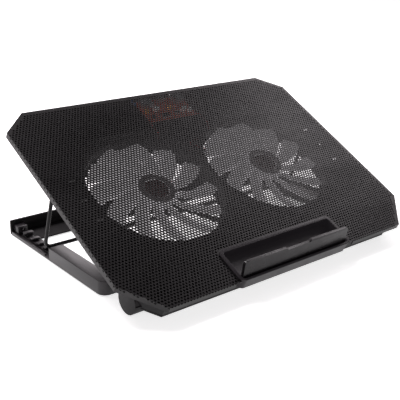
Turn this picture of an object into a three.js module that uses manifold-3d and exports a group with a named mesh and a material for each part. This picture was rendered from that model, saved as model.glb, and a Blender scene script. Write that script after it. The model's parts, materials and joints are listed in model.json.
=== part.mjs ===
// Laptop cooling pad: a perforated deck over a fan housing, hinged on a low U-shaped base and held
// up by a wire bail that stands in the base's notched racks. Millimetres, +X to the right, +Y to the
// back, +Z up. Deck pieces are drawn in the deck's own frame (origin at the middle of its front edge,
// Z square to the top sheet) and the whole deck group is then tilted to its rest position.
import * as THREE from 'three';
import { mergeVertices } from 'three/addons/utils/BufferGeometryUtils.js';
import Module from 'manifold-3d';

const wasm = await Module();
wasm.setup();

const GAP = 0.3; // clearance between pieces that touch
const DEG = Math.PI / 180;

// Deck
const DECK = { width: 380, depth: 269, sheet: 0.6, lip: 6, backCut: [28, 25], frontCut: [33, 37] };
const TILT = 26 * DEG;
const FRONT_EDGE_HEIGHT = 20;
const FLANGE = { top: -1.2, bottom: -3.2 };

// Housing under the deck
const SHELL = { wall: 2, floor: -24, front: 8, back: 216, halfWidth: 153 };
const EAR = { halfWidth: 172, front: 29, back: 64 };
const KNUCKLE = {
  y: 35.6, z: -25.1, radius: 13, cheekTop: -20, inner: 138, outer: 172, slot: [144.8, 157.2],
};
const VENTS = { in: 158, out: 165, rows: [112, 139, 166], half: 1.2 };
const BAY = { left: -36, right: 52, floor: -11, wall: 1.4, back: 266 };
const BOSS = { radius: 4, bore: 1.6, boreTop: -6, headRoom: 3.4, headDepth: 1.6 };
const BOSSES = [[-142, 52], [142, 52], [-144, 207], [144, 207], [0, 56], [0, 207]];
const SCREW = { head: 2.9, headHigh: 1.1, shank: 1.3, top: -8 };

// Fans
const FAN = { x: 75.5, y: 139, tip: 69.5, hub: 20, root: 19.2, blades: 12, top: -9.5, bottom: -19.5 };
const BLADE = { rootWidth: 13, tipWidth: 23, thick: 1.3, pitch: -0.36, sweep: 21 * DEG, steps: 9 };
const COLLAR = { inner: 73, outer: 74.6, top: -8 };
const GUARD = { rim: 1.6, pad: 24, spokes: 4, spokeWidth: 5 };
const ROUND = 28; // steps round half of a large circle

// Front tray and its stop flap
const TRAY = { half: 72.5, back: 35, depth: 9, wall: 1.8, rimOut: 76.5, corner: 6, front: 1.2 };
const FLAP = { half: 71, length: 19.5, thick: 3.2, hingeY: 4, hingeZ: -3.6, lean: 17 * DEG, notch: [31, 2] };

// Base
const BASE = { half: 173, railIn: 157, front: 80, back: 258.7, boxBack: 178, bottom: 1.2, top: 15, wall: 2 };
const BASE_FLOOR_TOP = 3.2;
const LOW_WALL_TOP = 5;
const BACK_PANEL = { front: 259, back: 262, top: 17, shelfFront: 230, shelfTop: 2.8, shelfHalf: 156.5 };
const ARM = { in: 145.5, out: 156.5, y: 43, z: 13, radius: 9, back: 112, low: 3, high: 12 };
const PIN = { radius: 2.9, bore: 3.2 };

// Wire bail: pivots in the deck frame, foot rod in the base frame
const BAIL = {
  wire: 2, pivotY: 172, pivotZ: -14, rodY: 182.5, rodZ: 14, half: 174.5, stub: 146, bend: 9, steps: 190,
};
const RACK = { in: 158.6, out: 168.4, pitch: 14, first: 196, teeth: 4, post: 3.4, hook: 3 };
const RACK_TOPS = [8.6, 7.9, 8.1, 10];

const finish = (color, roughness, metalness = 0) =>
  new THREE.MeshStandardMaterial({ color, roughness, metalness });
const MATERIALS = {
  mesh: finish(0x2b282c, 0.5, 0.6),
  plastic: finish(0x3b373b, 0.5),
  trim: finish(0x4a464b, 0.4),
  blade: finish(0x8d8b90, 0.35),
  steel: finish(0xb4b6ba, 0.3, 0.9),
  wire: finish(0x141416, 0.25, 0.5),
  rubber: finish(0x1b1b1c, 0.85),
  copper: finish(0x7c4a2a, 0.45, 0.6),
  board: finish(0x6e2420, 0.5),
  lead: finish(0xb01f1a, 0.45),
  led: finish(0x2d5fd0, 0.2),
};

// ---- shapes -----------------------------------------------------------------------------------

function polygon(points) {
  return new THREE.Shape(points.map(([x, y]) => new THREE.Vector2(x, y)));
}

function rectangle(x0, y0, x1, y1) {
  return polygon([[x0, y0], [x1, y0], [x1, y1], [x0, y1]]);
}

function roundedRectangle(x0, y0, x1, y1, r) {
  const shape = new THREE.Shape();
  shape.absarc(x1 - r, y0 + r, r, -Math.PI / 2, 0);
  shape.absarc(x1 - r, y1 - r, r, 0, Math.PI / 2);
  shape.absarc(x0 + r, y1 - r, r, Math.PI / 2, Math.PI);
  shape.absarc(x0 + r, y0 + r, r, Math.PI, 1.5 * Math.PI);
  return shape;
}

function circle(r, x = 0, y = 0) {
  return new THREE.Shape().absarc(x, y, r, 0, 2 * Math.PI);
}

// A polygon moved inwards by a distance; corners are given counter-clockwise.
function inset(points, distance) {
  const count = points.length;
  const lines = points.map((p, i) => {
    const q = points[(i + 1) % count];
    const length = Math.hypot(q[0] - p[0], q[1] - p[1]);
    const normal = [-(q[1] - p[1]) / length, (q[0] - p[0]) / length];
    return { normal, offset: normal[0] * p[0] + normal[1] * p[1] + distance };
  });
  return lines.map((b, i) => {
    const a = lines[(i + count - 1) % count];
    const det = a.normal[0] * b.normal[1] - a.normal[1] * b.normal[0];
    const x = (a.offset * b.normal[1] - b.offset * a.normal[1]) / det;
    const y = (a.normal[0] * b.offset - b.normal[0] * a.offset) / det;
    return [x, y];
  });
}

// ---- solids -----------------------------------------------------------------------------------

// A solid from a closed three.js geometry, ready for cuts and joins.
function solid(geometry) {
  const bare = geometry.clone();
  bare.deleteAttribute('normal');
  bare.deleteAttribute('uv');
  const merged = mergeVertices(bare.index ? bare.toNonIndexed() : bare, 1e-4);
  const vertProperties = new Float32Array(merged.attributes.position.array);
  const triVerts = new Uint32Array(merged.index.array);
  return new wasm.Manifold(new wasm.Mesh({ numProp: 3, vertProperties, triVerts }));
}

function geometryOf(body) {
  const mesh = body.getMesh();
  const geometry = new THREE.BufferGeometry();
  geometry.setAttribute('position', new THREE.BufferAttribute(new Float32Array(mesh.vertProperties), 3));
  geometry.setIndex(new THREE.BufferAttribute(new Uint32Array(mesh.triVerts), 1));
  geometry.computeVertexNormals();
  return geometry;
}

function prism(shape, z0, z1, curveSegments = 6) {
  const geometry = new THREE.ExtrudeGeometry(shape, { depth: z1 - z0, bevelEnabled: false, curveSegments });
  return solid(geometry.translate(0, 0, z0));
}

// A section drawn in Y and Z, drawn out along X from x0 to x1.
function beam(section, x0, x1, curveSegments = 6) {
  const depth = x1 - x0;
  const geometry = new THREE.ExtrudeGeometry(section, { depth, bevelEnabled: false, curveSegments });
  const turn = new THREE.Matrix4().set(0, 0, 1, x0, 1, 0, 0, 0, 0, 1, 0, 0, 0, 0, 0, 1);
  return solid(geometry.applyMatrix4(turn));
}

// A section drawn in X and Z, drawn out along Y from y0 to y1.
function bar(section, y0, y1, curveSegments = 6) {
  const depth = y1 - y0;
  const geometry = new THREE.ExtrudeGeometry(section, { depth, bevelEnabled: false, curveSegments });
  return solid(geometry.rotateX(Math.PI / 2).translate(0, y1, 0));
}

function block(x0, y0, z0, x1, y1, z1) {
  return prism(rectangle(x0, y0, x1, y1), z0, z1);
}

function post(r, x, y, z0, z1, curveSegments = 6) {
  return prism(circle(r, x, y), z0, z1, curveSegments);
}

function ring(outer, inner, z0, z1, curveSegments = 12) {
  const shape = circle(outer);
  shape.holes.push(circle(inner));
  return prism(shape, z0, z1, curveSegments);
}

// The same stretch of X on the left (side -1) or the right (side 1).
function span(side, near, far) {
  return side < 0 ? [-far, -near] : [near, far];
}

function joined(bodies) {
  return bodies.reduce((all, body) => all.add(body));
}

function tube(path, radius, steps, sides) {
  const section = polygon(Array.from({ length: sides }, (_, i) => {
    const angle = (i / sides) * 2 * Math.PI;
    return [radius * Math.cos(angle), radius * Math.sin(angle)];
  }));
  return solid(new THREE.ExtrudeGeometry(section, { steps, extrudePath: path, bevelEnabled: false }));
}

// Straight runs between points, joined by rounded corners.
function bentPath(points, radius) {
  const path = new THREE.CurvePath();
  let from = points[0];
  for (let i = 1; i < points.length - 1; i += 1) {
    const corner = points[i];
    const into = corner.clone().sub(points[i - 1]).normalize();
    const out = points[i + 1].clone().sub(corner).normalize();
    const start = corner.clone().addScaledVector(into, -radius);
    const end = corner.clone().addScaledVector(out, radius);
    path.add(new THREE.LineCurve3(from, start));
    path.add(new THREE.QuadraticBezierCurve3(start, corner, end));
    from = end;
  }
  path.add(new THREE.LineCurve3(from, points[points.length - 1]));
  return path;
}

const assembly = new THREE.Group();
const deck = new THREE.Group();
deck.position.z = FRONT_EDGE_HEIGHT;
deck.rotation.x = TILT;
assembly.add(deck);

function place(group, name, body, material) {
  const mesh = new THREE.Mesh(geometryOf(body), MATERIALS[material]);
  mesh.name = name;
  group.add(mesh);
  return mesh;
}

const SIDES = [[-1, 'left'], [1, 'right']];

// ---- deck: perforated sheet and fan housing ----------------------------------------------------

function deckOutline() {
  const half = DECK.width / 2;
  const [fx, fy] = DECK.frontCut;
  const [bx, by] = DECK.backCut;
  const right = [[half - fx, 0], [half, fy], [half, DECK.depth - by], [half - bx, DECK.depth]];
  const left = right.map(([x, y]) => [-x, y]).reverse();
  return [...right, ...left];
}

// The folded sheet. Its perforation is drawn on the finished surface, so it is a plain sheet here.
function meshPanel() {
  const outline = deckOutline();
  const outer = prism(polygon(outline), -DECK.lip, 0);
  const inner = prism(polygon(inset(outline, DECK.sheet)), -DECK.lip - 1, -DECK.sheet);
  const cut = TRAY.half + TRAY.wall + GAP;
  const trayCut = block(-cut, -2, -DECK.lip - 1, cut, TRAY.back + TRAY.wall + GAP, 1);
  const lipCut = block(-cut - 4, -2, -DECK.lip - 1, cut + 4, 2, -DECK.sheet);
  const portCut = block(
    BAY.left - 1, DECK.depth - 2, -DECK.lip - 1,
    BAY.right + 1, DECK.depth + 1, -DECK.sheet,
  );
  return outer.subtract(inner).subtract(trayCut).subtract(lipCut).subtract(portCut);
}

function shellOutline() {
  const right = [[SHELL.halfWidth, SHELL.front], [EAR.halfWidth, EAR.front], [EAR.halfWidth, EAR.back]];
  right.push([SHELL.halfWidth, EAR.back], [SHELL.halfWidth, SHELL.back]);
  const left = right.map(([x, y]) => [-x, y]).reverse();
  return [...right, ...left];
}

// Room for the front tray, the lip behind it and the ports in the back edge.
function deckRooms() {
  const cut = TRAY.half + TRAY.wall + 2 * GAP;
  const tray = block(-cut, -2, -TRAY.depth - TRAY.wall - GAP, cut, TRAY.back + TRAY.wall + 2 * GAP, 1);
  const lip = block(-cut - 4, -2, -DECK.lip - 1, cut + 4, 2, 1);
  const ports = block(BAY.left - 2, BAY.back, BAY.floor - 1, BAY.right + 2, DECK.depth, 1);
  return joined([tray, lip, ports]);
}

function bayRoom() {
  const { left, right, floor, wall, back } = BAY;
  return block(left + wall, SHELL.back - 4, floor + wall, right - wall, back + 2, 1);
}

// A hinge knuckle under one ear, grown on every side by a margin.
function knuckle(side, margin = 0) {
  const { y, z, radius, inner, outer, cheekTop } = KNUCKLE;
  const [x0, x1] = span(side, inner - margin, outer + margin);
  const round = radius + margin;
  const cheek = rectangle(y - round, z, y + round, cheekTop + margin);
  return beam(circle(round, y, z), x0, x1, 10).add(beam(cheek, x0, x1));
}

// Room for the base's arm under the floor, for its eye inside a knuckle, and for the hinge pin.
function knuckleRoom(side) {
  const { y, z, radius, inner, outer, slot } = KNUCKLE;
  const [s0, s1] = span(side, ...slot);
  const arm = block(s0, y - radius + 2, z - radius - 4, s1, EAR.back - 2.5, SHELL.floor);
  const eye = beam(circle(ARM.radius + 1.2, y, z), s0, s1, 10);
  const [b0, b1] = span(side, inner - 3, outer - 2);
  return joined([arm, eye, beam(circle(PIN.bore, y, z), b0, b1)]);
}

// The floor carries the knuckles and the screw bosses; the fan guards sit in its round holes.
function housingFloor() {
  const { floor, wall } = SHELL;
  let body = prism(polygon(shellOutline()), floor, floor + wall);
  for (const [side] of SIDES) {
    body = body.subtract(post(COLLAR.inner, side * FAN.x, FAN.y, floor - 1, floor + wall + 1, ROUND));
    body = body.add(knuckle(side)).subtract(knuckleRoom(side));
  }
  for (const [x, y] of BOSSES) body = body.add(post(BOSS.radius, x, y, floor + 0.5, FLANGE.top));
  for (const [x, y] of BOSSES) {
    body = body.subtract(post(BOSS.bore, x, y, floor - 1, BOSS.boreTop));
    body = body.subtract(post(BOSS.headRoom, x, y, floor - 1, floor + BOSS.headDepth));
  }
  return body;
}

function housingWall() {
  const { floor, wall } = SHELL;
  const ring = prism(polygon(shellOutline()), floor + wall + GAP, FLANGE.bottom - GAP);
  let body = ring.subtract(prism(polygon(inset(shellOutline(), wall)), floor, 1));
  for (const [side] of SIDES) {
    const [x0, x1] = span(side, SHELL.halfWidth - 2 * wall, SHELL.halfWidth + 2 * wall);
    const bore = circle(BAIL.wire + 0.4, BAIL.pivotY, BAIL.pivotZ);
    body = body.subtract(knuckle(side, GAP)).subtract(beam(bore, x0, x1));
  }
  return body.subtract(bayRoom()).subtract(deckRooms());
}

// One side of the flange under the sheet; the tray and the bay part it from the other side.
function housingFlange(side) {
  const plate = prism(polygon(inset(deckOutline(), DECK.sheet + GAP)), FLANGE.bottom, FLANGE.top);
  const room = prism(polygon(inset(shellOutline(), SHELL.wall)), FLANGE.bottom - 1, 1);
  const [o0, o1] = span(-side, 0, DECK.width);
  const otherSide = block(o0, -1, FLANGE.bottom - 1, o1, DECK.depth + 1, 1);
  let body = plate.subtract(otherSide).subtract(room).subtract(bayRoom()).subtract(deckRooms());
  const [x0, x1] = span(side, VENTS.in, VENTS.out);
  for (const y of VENTS.rows) {
    body = body.subtract(block(x0, y - VENTS.half, FLANGE.bottom - 1, x1, y + VENTS.half, 1));
  }
  return body;
}

function electronicsBay() {
  const { left, right, floor, back } = BAY;
  return block(left, SHELL.back + GAP, floor, right, back, FLANGE.bottom - GAP).subtract(bayRoom());
}

// A flat guard under one fan: a pad for the motor held by crossed spokes inside a rim.
function fanGuard() {
  const { pad, spokes, spokeWidth, rim } = GUARD;
  const [z0, z1] = [SHELL.floor, SHELL.floor + SHELL.wall];
  const outer = COLLAR.inner - GAP;
  let body = ring(pad, BOSS.bore, z0, z1).add(ring(outer, outer - rim, z0, z1, ROUND));
  const reach = outer - rim / 2;
  for (let i = 0; i < spokes / 2; i += 1) {
    const spoke = new THREE.BoxGeometry(2 * reach, spokeWidth, z1 - z0);
    spoke.rotateZ(Math.PI / 4 + (i * Math.PI) / 2).translate(0, 0, (z0 + z1) / 2);
    body = body.add(solid(spoke));
  }
  return body;
}

// The ring round one fan, with a notch where the fan's lead passes under it.
function fanCollar(side) {
  const low = SHELL.floor + SHELL.wall + GAP;
  const middle = (COLLAR.inner + COLLAR.outer) / 2;
  const [x, y] = [-side * middle * Math.SQRT1_2, middle * Math.SQRT1_2];
  const notch = block(x - 3, y - 3, low - 1, x + 3, y + 3, low + 4);
  return ring(COLLAR.outer, COLLAR.inner, low, COLLAR.top, ROUND).subtract(notch);
}

place(deck, 'mesh_panel', meshPanel(), 'mesh');

// ---- front tray and stop flap -------------------------------------------------------------------

function frontTray() {
  const { half, back, depth, wall, rimOut, corner, front } = TRAY;
  const outer = roundedRectangle(-half - wall, front - 2, half + wall, back + wall, corner);
  const rim = roundedRectangle(-rimOut, front - 2.4, rimOut, back + wall + 2, corner + 1.5);
  const room = roundedRectangle(-half, front, half, back, corner / 2);
  let body = prism(outer, -depth - wall, 1).add(prism(rim, GAP, 1.5));
  body = body.subtract(prism(room, -depth, 3));
  const hinge = beam(circle(1.5, FLAP.hingeY, FLAP.hingeZ), -half - 1.3, half + 1.3);
  return body.subtract(hinge);
}

// The flap is drawn standing square to the deck, hinged on the X axis, then leaned back.
function stopFlap() {
  const { half, length, thick, notch } = FLAP;
  const [notchWidth, notchDepth] = notch;
  const face = new THREE.Shape();
  const corner = 3.5;
  face.moveTo(-half, 0);
  face.lineTo(half, 0);
  face.absarc(half - corner, length - corner, corner, 0, Math.PI / 2);
  face.lineTo(notchWidth / 2 + 1.5, length);
  face.lineTo(notchWidth / 2, length - notchDepth);
  face.lineTo(-notchWidth / 2, length - notchDepth);
  face.lineTo(-notchWidth / 2 - 1.5, length);
  face.absarc(-half + corner, length - corner, corner, Math.PI / 2, Math.PI);
  let body = bar(face, -thick / 2, thick / 2).add(beam(circle(2, 0, 0), -half, half));
  for (const [side] of SIDES) {
    const [x0, x1] = span(side, half - 8, half + 1);
    body = body.subtract(beam(circle(1.5, 0, 0), x0, x1));
  }
  return body;
}

place(deck, 'front_tray', frontTray(), 'trim');
const flapPivot = new THREE.Group();
flapPivot.position.set(0, FLAP.hingeY, FLAP.hingeZ);
flapPivot.rotation.x = -FLAP.lean;
deck.add(flapPivot);
place(flapPivot, 'stop_flap', stopFlap(), 'trim');
for (const [side, name] of SIDES) {
  const [x0, x1] = span(side, FLAP.half - 7.6, FLAP.half + 2.5);
  place(flapPivot, `flap_pin_${name}`, beam(circle(1.2, 0, 0), x0, x1), 'steel');
}

// ---- fans ---------------------------------------------------------------------------------------

// One blade: a band that sweeps back as it runs outwards, then is pitched about its own middle line.
function blade() {
  const { rootWidth, tipWidth, thick, pitch, sweep, steps } = BLADE;
  const middle = (FAN.top + FAN.bottom) / 2;
  const lean = (r) => sweep * ((r - FAN.root) / (FAN.tip - FAN.root)) ** 1.15;
  const edge = (sign) => Array.from({ length: steps + 1 }, (_, i) => {
    const t = i / steps;
    const r = FAN.root + (FAN.tip - FAN.root) * t;
    const width = (rootWidth + (tipWidth - rootWidth) * t) * (i === steps ? 0.78 : 1);
    const angle = lean(r) + (sign * width) / 2 / r;
    return [r * Math.cos(angle), r * Math.sin(angle)];
  });
  const outline = polygon([...edge(-1), ...edge(1).reverse()]);
  const geometry = new THREE.ExtrudeGeometry(outline, { depth: thick, bevelEnabled: false });
  const p = geometry.attributes.position;
  for (let i = 0; i < p.count; i += 1) {
    const r = Math.hypot(p.getX(i), p.getY(i));
    const across = (Math.atan2(p.getY(i), p.getX(i)) - lean(r)) * r;
    p.setZ(i, p.getZ(i) + middle - thick / 2 + pitch * across);
  }
  return geometry;
}

function rotor() {
  const cup = prism(circle(FAN.hub), FAN.bottom, FAN.top, 10)
    .subtract(prism(circle(18.4), FAN.bottom - 1, FAN.top - 2.4, 10))
    .subtract(prism(circle(13.2), FAN.top - 1, FAN.top + 1, 8));
  const one = blade();
  let body = cup;
  for (let i = 0; i < FAN.blades; i += 1) {
    body = body.add(solid(one.clone().rotateZ((i / FAN.blades) * 2 * Math.PI)));
  }
  return body;
}

// Two windings' worth of motor body: base plate, bearing tube and coil drum in one closed solid.
function motor() {
  const floor = SHELL.floor + SHELL.wall + GAP;
  return ring(15.6, 1.9, floor, FAN.top - 3.2).subtract(ring(18, 12, floor + 2.2, FAN.top - 6));
}

// Points of one fan's lead, from the motor along a spoke to the board's edge.
function leadRoute(side) {
  const z = SHELL.floor + SHELL.wall + 1.3;
  const dir = [-side * Math.SQRT1_2, Math.SQRT1_2];
  const at = (r, height) => new THREE.Vector3(side * FAN.x + dir[0] * r, FAN.y + dir[1] * r, height);
  const enter = side < 0 ? -26 : 45;
  return [
    at(16.2, z), at(30, z), at(50, z), at(76, z), at(86, z),
    new THREE.Vector3(side < 0 ? -20 : 30, 205, z),
    new THREE.Vector3(enter, 208.5, z + 4),
    new THREE.Vector3(enter, 209.5, -10),
    new THREE.Vector3(enter, 213.5, -6.6),
    new THREE.Vector3(enter, 224, -6.8),
    new THREE.Vector3(side < 0 ? -22 : 42, 234.5, -6.8),
  ];
}

place(deck, 'housing_floor', housingFloor(), 'plastic');
place(deck, 'housing_wall', housingWall(), 'plastic');
place(deck, 'electronics_bay', electronicsBay(), 'plastic');
for (const [side, name] of SIDES) {
  place(deck, `housing_flange_${name}`, housingFlange(side), 'plastic');
  const centre = new THREE.Group();
  centre.position.set(side * FAN.x, FAN.y, 0);
  deck.add(centre);
  place(centre, `fan_rotor_${name}`, rotor(), 'blade');
  place(centre, `fan_magnet_${name}`, ring(18.1, 16.2, FAN.bottom, FAN.top - 2.7), 'steel');
  const shaft = prism(circle(1.6), SHELL.floor + SHELL.wall + 1, FAN.top - 2.7);
  place(centre, `fan_shaft_${name}`, shaft, 'steel');
  place(centre, `hub_label_${name}`, prism(circle(12.8), FAN.top - 0.7, FAN.top - 0.3, 8), 'rubber');
  place(centre, `fan_motor_${name}`, motor(), 'copper');
  place(centre, `fan_collar_${name}`, fanCollar(side), 'plastic');
  place(centre, `fan_guard_${name}`, fanGuard(), 'plastic');
  const route = new THREE.CatmullRomCurve3(leadRoute(side), false, 'centripetal');
  place(deck, `fan_lead_${name}`, tube(route, 0.9, 44, 6), 'lead');
}

// ---- electronics bay ----------------------------------------------------------------------------

const BOARD = { x0: -23, x1: 43, y0: 232, y1: 266.2, z0: -9.3, z1: -7.7 };
const PORT = { centres: [-12, 32], half: 6.6, length: 14, z0: -7.4, z1: -1.8, shell: 0.5 };
const SWITCH = { x: 10, half: 5, length: 6, z1: -3.2 };

function usbSocket(x) {
  const { half, length, z0, z1, shell } = PORT;
  const back = BAY.back + 0.4;
  const outer = block(x - half, back - length, z0, x + half, back, z1);
  const inner = half - shell;
  const room = block(x - inner, back - length + 3, z0 + shell, x + inner, back + 1, z1 - shell);
  const tongue = block(x - half + 1.4, back - length + 1, z0 + 2.6, x + half - 1.4, back - 1.6, z0 + 4.4);
  return outer.subtract(room).add(tongue);
}

function rearBezel() {
  const y0 = BAY.back + 0.7;
  let body = block(BAY.left, y0, BAY.floor, BAY.right, DECK.depth, -DECK.sheet - GAP);
  for (const x of PORT.centres) {
    const room = block(x - PORT.half, y0 - 1, PORT.z0, x + PORT.half, DECK.depth + 1, PORT.z1);
    body = body.subtract(room);
  }
  body = body.subtract(block(SWITCH.x - 4.2, y0 - 1, -6.6, SWITCH.x + 4.2, DECK.depth + 1, -4.2));
  return body.subtract(bar(circle(1.7, -27, -5), y0 - 1, DECK.depth + 1));
}

place(deck, 'circuit_board', block(BOARD.x0, BOARD.y0, BOARD.z0, BOARD.x1, BOARD.y1, BOARD.z1), 'board');
PORT.centres.forEach((x, i) => place(deck, `usb_socket_${SIDES[i][1]}`, usbSocket(x), 'steel'));
const switchBack = BAY.back + 0.2;
const switchBody = block(
  SWITCH.x - SWITCH.half, switchBack - SWITCH.length, PORT.z0,
  SWITCH.x + SWITCH.half, switchBack, SWITCH.z1,
).subtract(block(SWITCH.x - 4, switchBack - 2.5, -6.4, SWITCH.x + 4, switchBack + 1, -4.4));
place(deck, 'switch_body', switchBody, 'steel');
const slider = block(SWITCH.x - 3.4, switchBack - 2.2, -6.1, SWITCH.x - 0.2, DECK.depth + 0.8, -4.7);
place(deck, 'switch_slider', slider, 'rubber');
place(deck, 'status_led', bar(circle(1.4, -27, -5), 258, DECK.depth - 0.2), 'led');
place(deck, 'rear_bezel', rearBezel(), 'plastic');

// ---- fasteners and pivots on the deck -----------------------------------------------------------

function screw(x, y) {
  const low = SHELL.floor + 0.2;
  const head = post(SCREW.head, x, y, low, low + SCREW.headHigh);
  return head.add(post(SCREW.shank, x, y, low + SCREW.headHigh / 2, SCREW.top));
}

BOSSES.forEach(([x, y], i) => place(deck, `housing_screw_${i + 1}`, screw(x, y), 'steel'));
for (const [side, name] of SIDES) {
  const [p0, p1] = span(side, KNUCKLE.inner + 0.6, KNUCKLE.outer - 2.3);
  place(deck, `hinge_pin_${name}`, beam(circle(PIN.radius, KNUCKLE.y, KNUCKLE.z), p0, p1), 'steel');
  const [c0, c1] = span(side, 145.4, 150.7);
  const section = rectangle(BAIL.pivotY - 4.5, BAIL.pivotZ - 5, BAIL.pivotY + 4.5, BAIL.pivotZ + 5);
  const clip = beam(section, c0, c1)
    .subtract(beam(circle(BAIL.wire + 0.3, BAIL.pivotY, BAIL.pivotZ), c0 - 1, c1 + 1));
  place(deck, `bail_clip_${name}`, clip, 'plastic');
}

// ---- wire bail ----------------------------------------------------------------------------------

// A point of the deck frame's Y and Z, as seen from the base.
function fromDeck(y, z) {
  const s = Math.sin(TILT);
  const c = Math.cos(TILT);
  return [y * c - z * s, FRONT_EDGE_HEIGHT + y * s + z * c];
}

function wireBail() {
  const [py, pz] = fromDeck(BAIL.pivotY, BAIL.pivotZ);
  const half = (side) => [
    new THREE.Vector3(side * BAIL.stub, py, pz),
    new THREE.Vector3(side * BAIL.half, py, pz),
    new THREE.Vector3(side * BAIL.half, BAIL.rodY, BAIL.rodZ),
  ];
  return tube(bentPath([...half(-1), ...half(1).reverse()], BAIL.bend), BAIL.wire, BAIL.steps, 10);
}

place(assembly, 'wire_bail', wireBail(), 'wire');

// ---- base ---------------------------------------------------------------------------------------

function railPlan(side) {
  const { half, railIn, front, back } = BASE;
  const round = 9;
  const shape = new THREE.Shape();
  shape.moveTo(railIn, back);
  shape.lineTo(railIn, front);
  shape.absarc(half - round, front + round, round, -Math.PI / 2, 0);
  shape.lineTo(half, back);
  if (side > 0) return shape;
  return polygon(shape.extractPoints(6).shape.map((p) => [-p.x, p.y]).reverse());
}

function rail(side) {
  const { half, railIn, front, back, boxBack, bottom, top, wall } = BASE;
  const solidRail = prism(railPlan(side), bottom, top);
  const [c0, c1] = span(side, railIn + wall, half - wall);
  const hollow = block(c0, front + 10, bottom - 1, c1, boxBack - wall, top - wall);
  const [r0, r1] = span(side, railIn - 1, half + 1);
  const [k0, k1] = span(side, railIn + 1.2, half - wall);
  const aboveWall = block(r0, boxBack, LOW_WALL_TOP, r1, back + 1, top + 1);
  const aboveFloor = block(k0, boxBack, BASE_FLOOR_TOP, k1, back + 1, top + 1);
  const legSlot = block(r0, boxBack, BASE_FLOOR_TOP, r1, boxBack + 9, top);
  const [a0, a1] = span(side, ARM.in, ARM.out);
  const [w0, w1] = span(side, ARM.in, railIn + 1);
  const arm = beam(circle(ARM.radius, ARM.y, ARM.z), a0, a1, 10)
    .add(block(a0, ARM.y, ARM.low, a1, ARM.back, ARM.high))
    .add(block(w0, front + 4, ARM.low, w1, ARM.back, ARM.high));
  const screwHole = bar(circle(1.6, side * 164, 8), back - 12, back + 1);
  const eye = beam(circle(PIN.bore, ARM.y, ARM.z), a0 - 1, a1 + 1);
  const [e0, e1] = span(side, railIn + wall, half - 3);
  const endBlock = block(e0, back - 10, bottom + 1, e1, back, 12.5);
  return solidRail.subtract(hollow).subtract(aboveWall).subtract(aboveFloor).subtract(legSlot)
    .add(arm).add(endBlock).subtract(eye).subtract(screwHole);
}

// One tooth: an upright post with a hook that leans over the notch in front of it.
function rackSection() {
  const low = BASE_FLOOR_TOP + GAP;
  const points = [[BASE.boxBack + 2, low]];
  points.push([BASE.boxBack + 2, 10], [BASE.boxBack + 7, 10], [BASE.boxBack + 8.5, low + 1.6]);
  for (let i = 0; i < RACK.teeth; i += 1) {
    const y = RACK.first + i * RACK.pitch;
    const top = RACK_TOPS[i];
    points.push([y, low + 1.6], [y - 0.6, top - 1.6], [y - RACK.hook, top - 1.4], [y - RACK.hook, top]);
    points.push([y + RACK.post - 0.8, top], [y + RACK.post, top - 1], [y + RACK.post, low + 1.6]);
  }
  const last = RACK.first + (RACK.teeth - 1) * RACK.pitch + RACK.post + 3;
  points.push([last, low + 1.6], [last, low]);
  return polygon(points.reverse());
}

for (const [side, name] of SIDES) {
  place(assembly, `base_rail_${name}`, rail(side), 'plastic');
  const [x0, x1] = span(side, RACK.in, RACK.out);
  place(assembly, `notch_rack_${name}`, beam(rackSection(), x0, x1), 'plastic');
  for (const [end, y] of [['front', 98], ['rear', 240]]) {
    const pad = prism(circle(6, side * 165, y), 0, BASE.bottom - GAP);
    place(assembly, `floor_pad_${end}_${name}`, pad, 'rubber');
  }
  const screwBody = bar(circle(1.3, side * 164, 8), BASE.back - 9, BACK_PANEL.back)
    .add(bar(circle(3, side * 164, 8), BACK_PANEL.back + GAP, BACK_PANEL.back + 1.5))
    .add(bar(circle(1.3, side * 164, 8), BACK_PANEL.back - 1, BACK_PANEL.back + 1));
  place(assembly, `back_screw_${name}`, screwBody, 'steel');
}

function backPanel() {
  const { front, back, top, shelfFront, shelfTop, shelfHalf } = BACK_PANEL;
  let body = block(-BASE.half, front, BASE.bottom, BASE.half, back, top)
    .add(block(-shelfHalf, shelfFront, BASE.bottom, shelfHalf, front + 1, shelfTop));
  for (const [side] of SIDES) body = body.subtract(bar(circle(1.6, side * 164, 8), front - 1, back + 1));
  return body;
}

place(assembly, 'base_back_panel', backPanel(), 'plastic');

// The origin is on the floor under the middle of the whole part.
const extent = new THREE.Box3().setFromObject(assembly, true);
assembly.position.set(0, -(extent.min.y + extent.max.y) / 2, -extent.min.z);

const group = new THREE.Group();
group.add(assembly);

export default group;
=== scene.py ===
"""Laptop cooling pad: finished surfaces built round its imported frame.

Lengths are in metres. Deck pieces are modelled flat, in the deck's own frame (origin at the middle of
the sheet's front edge, X to the right, Y to the back, Z square to the sheet), and their meshes are then
tilted into the row frame.
"""
import json
import logging
import math
from contextlib import contextmanager
from dataclasses import dataclass
from enum import Enum
from typing import Callable, Iterator, Sequence, Union

import bmesh
import bpy
from mathutils import Matrix, Vector
from mathutils.geometry import convex_hull_2d

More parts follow.
